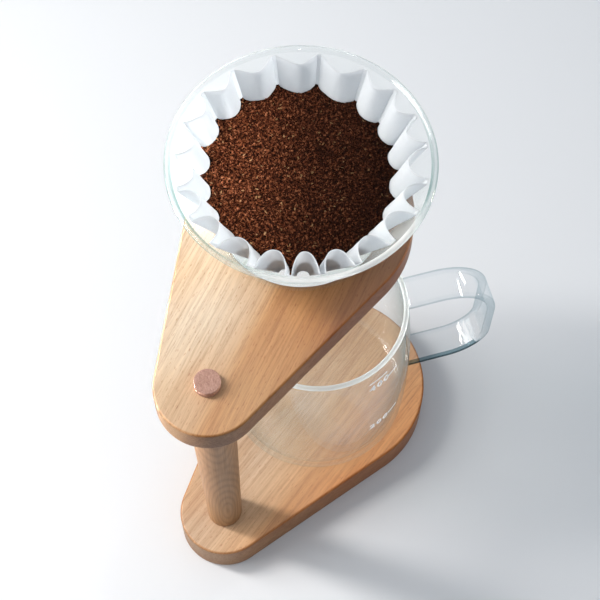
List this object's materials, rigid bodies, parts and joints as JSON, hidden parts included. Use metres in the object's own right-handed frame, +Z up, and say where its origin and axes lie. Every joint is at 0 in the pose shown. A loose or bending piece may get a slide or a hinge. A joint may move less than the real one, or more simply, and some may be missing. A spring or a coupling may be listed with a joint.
{
  "type": "pour-over coffee dripper stand",
  "caption": "Wooden pour-over coffee stand: teardrop base, turned post and swivelling arm that holds a glass dripper with pleated paper filter and coffee over a glass jug with strap handle.",
  "frame": {"origin": "on the underside of the base board, at the centre of its wide round end", "axes": "+Z up, +X along the base from the post to the wide end, +Y to the left of that"},
  "size_m": [0.1916, 0.1378, 0.2476],
  "materials": {
    "wood_board": "satin oiled hardwood with straight grain",
    "wood_post": "satin paler hardwood with arched grain",
    "wood_cap": "satin dark hardwood end grain",
    "steel": "plain steel",
    "brass": "plain brass",
    "nylon": "matt",
    "glass": "clear, polished",
    "paper": "soft white filter paper",
    "coffee": "ground coffee, matt and grainy"
  },
  "bodies": {
    "stand": {"base_board": "wood_board", "post": "wood_post", "bottom_insert": "brass", "base_bolt": "steel", "base_washer": "steel", "top_insert": "brass", "thrust_washer": "nylon", "pivot_bolt": "steel", "pivot_washer": "steel"},
    "arm": {"arm_board": "wood_board", "pivot_cap": "wood_cap"},
    "dripper": {"dripper_glass": "glass"},
    "filter": {"filter_paper": "paper", "coffee_bed": "coffee"},
    "server": {"server_body": "glass", "server_handle": "glass"}
  },
  "joints": [
    {"name": "arm_swivel", "type": "hinge", "parent": "stand", "child": "arm", "pos_m": [-0.094, 0, 0.185], "axis": [0, 0, 1], "range_deg": [-102, 78]},
    {"name": "dripper_lift", "type": "slide", "parent": "arm", "child": "dripper", "axis": [0, 0, 1], "range_m": [0, 0.09]},
    {"name": "filter_lift", "type": "slide", "parent": "dripper", "child": "filter", "axis": [0, 0, 1], "range_m": [0, 0.08]},
    {"name": "server_slide", "type": "slide", "parent": "stand", "child": "server", "axis": [0.7986, -0.6018, 0], "range_m": [0, 0.15]}
  ]
}
